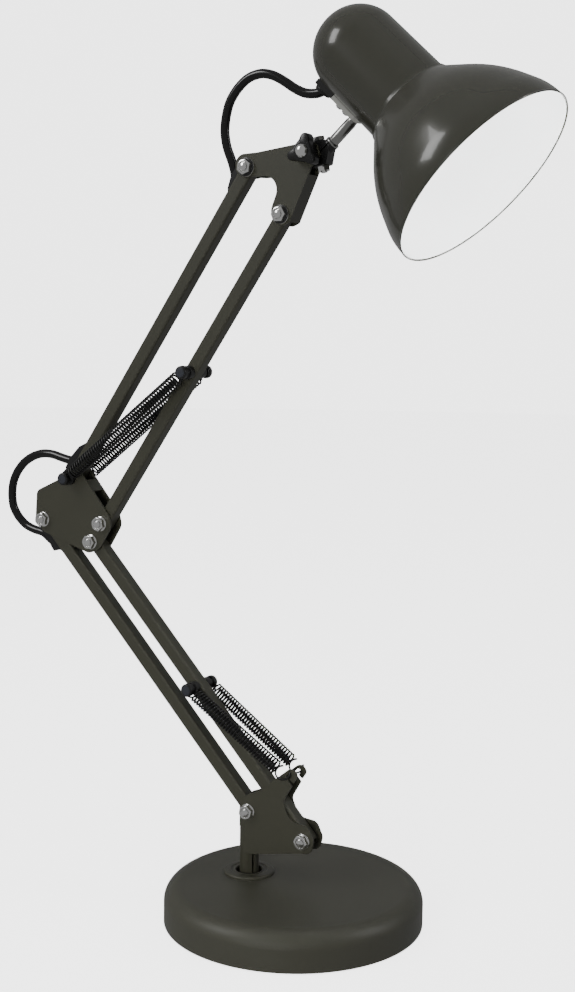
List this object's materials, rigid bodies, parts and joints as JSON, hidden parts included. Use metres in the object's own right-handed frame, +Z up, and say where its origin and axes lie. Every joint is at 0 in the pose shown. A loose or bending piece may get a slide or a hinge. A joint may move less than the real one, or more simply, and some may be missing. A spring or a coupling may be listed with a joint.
{
  "type": "swing arm desk lamp",
  "caption": "Desk lamp with a round weighted base, two spring-balanced parallelogram arms and a tilting bell shade.",
  "frame": {"origin": "centre of the underside of the base's pad, on the surface the lamp stands on", "axes": "+Z up; the arms lie in the XZ plane and the shade is on the +X side, opening towards +X and down"},
  "size_m": [0.4063, 0.17, 0.5802],
  "materials": {
    "powder_coat": "dark olive-charcoal powder coat, satin with a fine grain",
    "shade_enamel": "gloss dark olive-charcoal enamel outside, white inside the bell",
    "cast_iron": "raw casting, hidden in the base",
    "felt_rubber": "matt black anti-slip sheet",
    "zinc_steel": "bright zinc plate",
    "nylon": "black nylon",
    "black_plastic": "black moulded plastic with a low sheen",
    "black_rubber": "black moulded rubber",
    "black_cable": "glossy black sheath",
    "chrome": "bright nickel or chrome plate",
    "brass": "bright brass",
    "post_steel": "dark bluish grey",
    "black_spring_steel": "black oxide",
    "black_washer": "black oxide with a thin bright rim"
  },
  "bodies": {
    "base": {"base_cover": "powder_coat", "base_weight": "cast_iron", "base_pad": "felt_rubber", "swivel_socket": "powder_coat", "socket_nut": "zinc_steel", "swivel_bush": "nylon"},
    "mast": {"base_bracket": "powder_coat", "base_pivot_bolts": "chrome", "base_pivot_nuts": "chrome", "base_washers": "black_washer", "lower_spring_front": "black_spring_steel", "lower_spring_rear": "black_spring_steel"},
    "lower_rear_link": {"lower_rear_tube": "powder_coat", "lower_rear_spacers": "nylon", "cable_lower_run": "black_cable", "cable_guide_lower": "black_rubber"},
    "lower_front_link": {"lower_front_tube": "powder_coat", "lower_front_spacers": "nylon", "lower_spring_post": "post_steel"},
    "elbow": {"elbow_bracket": "powder_coat", "elbow_pivot_bolts": "chrome", "elbow_pivot_nuts": "chrome", "elbow_washers": "black_washer", "elbow_spring_post": "post_steel", "upper_spring_front": "black_spring_steel", "upper_spring_rear": "black_spring_steel", "cable_lower_loop": "black_cable"},
    "upper_rear_link": {"upper_rear_tube": "powder_coat", "upper_rear_spacers": "nylon", "cable_upper_run": "black_cable", "cable_guide_elbow": "black_rubber", "cable_guide_upper": "black_rubber"},
    "upper_front_link": {"upper_front_tube": "powder_coat", "upper_front_spacers": "nylon", "upper_spring_post": "post_steel"},
    "head": {"head_bracket": "powder_coat", "head_pivot_bolts": "chrome", "head_pivot_nuts": "chrome", "head_washers": "black_washer", "tilt_bolt": "chrome", "cable_upper_loop": "black_cable"},
    "knob": {"clamp_knob": "black_plastic", "knob_cap_nut": "chrome"},
    "knuckle": {"knuckle_block": "black_plastic", "knuckle_bolt": "chrome", "knuckle_nut": "chrome", "friction_washers": "nylon"},
    "shade": {"head_rod": "chrome", "saddle_plate": "chrome", "saddle_screws": "chrome", "shade_bell": "shade_enamel", "neck_cap": "shade_enamel", "cord_gland": "black_plastic", "lamp_holder_skirt": "black_plastic", "lamp_holder_sleeve": "brass", "lamp_holder_contact": "brass", "holder_bracket": "zinc_steel", "cable_head_run": "black_cable"}
  },
  "joints": [
    {"name": "swivel", "type": "hinge", "parent": "base", "child": "mast", "pos_m": [-0.0345, 0, 0.03], "axis": [0, 0, 1], "continuous": true},
    {"name": "lower_arm", "type": "hinge", "parent": "mast", "child": "lower_rear_link", "pos_m": [-0.032, 0, 0.069], "axis": [0, 1, 0], "range_deg": [-14, 43]},
    {"name": "lower_arm_front", "type": "hinge", "parent": "mast", "child": "lower_front_link", "pos_m": [0.01, 0, 0.0565], "axis": [0, 1, 0], "range_deg": [-14, 43], "deforming": ["lower_spring_front", "lower_spring_rear"]},
    {"name": "elbow_level", "type": "hinge", "parent": "lower_rear_link", "child": "elbow", "pos_m": [-0.20409, 0, 0.25034], "axis": [0, 1, 0], "range_deg": [-43, 14], "deforming": ["cable_lower_loop"]},
    {"name": "upper_arm", "type": "hinge", "parent": "elbow", "child": "upper_rear_link", "pos_m": [-0.17959, 0, 0.28104], "axis": [0, 1, 0], "range_deg": [-33, 20]},
    {"name": "upper_arm_front", "type": "hinge", "parent": "elbow", "child": "upper_front_link", "pos_m": [-0.15399, 0, 0.25104], "axis": [0, 1, 0], "range_deg": [-33, 20], "deforming": ["upper_spring_front", "upper_spring_rear"]},
    {"name": "head_level", "type": "hinge", "parent": "upper_rear_link", "child": "head", "pos_m": [-0.03799, 0, 0.48707], "axis": [0, 1, 0], "range_deg": [-20, 33], "deforming": ["cable_upper_loop"]},
    {"name": "head_tilt", "type": "hinge", "parent": "head", "child": "knuckle", "pos_m": [0.0076, 0, 0.494], "axis": [0, 1, 0], "range_deg": [-55, 20]},
    {"name": "shade_swivel", "type": "hinge", "parent": "knuckle", "child": "shade", "pos_m": [0.018, 0, 0.4977], "axis": [0.7431, 0, 0.6691], "range_deg": [-90, 90]},
    {"name": "knob_turn", "type": "hinge", "parent": "head", "child": "knob", "pos_m": [0.0076, -0.012, 0.494], "axis": [0, 1, 0], "range_deg": [-180, 180]}
  ],
  "couplings": [
    {"joint": "lower_arm_front", "follows": "lower_arm", "ratio": 1},
    {"joint": "elbow_level", "follows": "lower_arm", "ratio": -1},
    {"joint": "upper_arm_front", "follows": "upper_arm", "ratio": 1},
    {"joint": "head_level", "follows": "upper_arm", "ratio": -1}
  ]
}
